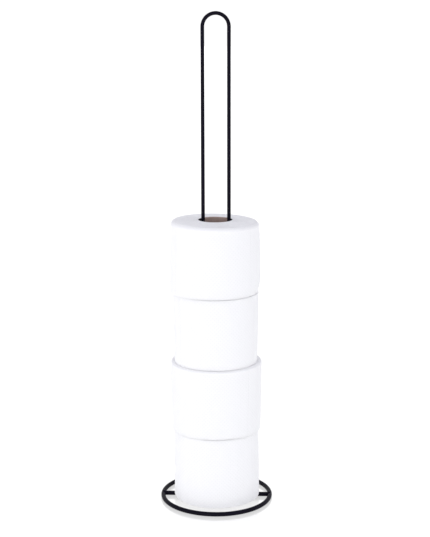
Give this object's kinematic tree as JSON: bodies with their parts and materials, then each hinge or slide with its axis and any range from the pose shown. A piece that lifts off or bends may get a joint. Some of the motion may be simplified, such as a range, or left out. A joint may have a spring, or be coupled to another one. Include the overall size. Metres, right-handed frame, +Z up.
{
  "type": "toilet paper holder",
  "caption": "Free-standing black wire stand for spare toilet rolls: round base ring, crossbar and tall hairpin mast, loaded with stacked white rolls that lift off and turn.",
  "frame": {"origin": "on the floor, at the centre of the base ring", "axes": "+Z up along the mast, +X along the crossbar and across the mast's two legs, -Y towards the front"},
  "size_m": [0.156, 0.156, 0.671],
  "materials": {
    "black_powder_coat": "satin black powder coat",
    "tissue_paper": "matte white embossed tissue",
    "core_board": "matte grey-brown spiral-wound board"
  },
  "bodies": {
    "stand": {"base_ring": "black_powder_coat", "crossbar": "black_powder_coat", "mast_loop": "black_powder_coat"},
    "tube_1": {"roll_1_tube": "core_board"},
    "paper_1": {"roll_1_paper": "tissue_paper"},
    "tube_2": {"roll_2_tube": "core_board"},
    "paper_2": {"roll_2_paper": "tissue_paper"},
    "tube_3": {"roll_3_tube": "core_board"},
    "paper_3": {"roll_3_paper": "tissue_paper"},
    "tube_4": {"roll_4_tube": "core_board"},
    "paper_4": {"roll_4_paper": "tissue_paper"}
  },
  "joints": [
    {"name": "roll_1_lift", "type": "slide", "parent": "stand", "child": "tube_1", "axis": [0, 0, 1], "range_m": [0, 0.68]},
    {"name": "roll_1_turn", "type": "hinge", "parent": "tube_1", "child": "paper_1", "pos_m": [0.0003, -0.0035, 0.0063], "axis": [0, 0, 1], "continuous": true},
    {"name": "roll_2_lift", "type": "slide", "parent": "tube_1", "child": "tube_2", "axis": [0, 0, 1], "range_m": [0, 0.58]},
    {"name": "roll_2_turn", "type": "hinge", "parent": "tube_2", "child": "paper_2", "pos_m": [-0.0001, 0, 0.1033], "axis": [0, 0, 1], "continuous": true},
    {"name": "roll_3_lift", "type": "slide", "parent": "tube_2", "child": "tube_3", "axis": [0, 0, 1], "range_m": [0, 0.48]},
    {"name": "roll_3_turn", "type": "hinge", "parent": "tube_3", "child": "paper_3", "pos_m": [-0.0005, -0.0035, 0.2003], "axis": [0, 0, 1], "continuous": true},
    {"name": "roll_4_lift", "type": "slide", "parent": "tube_3", "child": "tube_4", "axis": [0, 0, 1], "range_m": [0, 0.39]},
    {"name": "roll_4_turn", "type": "hinge", "parent": "tube_4", "child": "paper_4", "pos_m": [-0.001, 0, 0.2973], "axis": [0, 0, 1], "continuous": true}
  ]
}
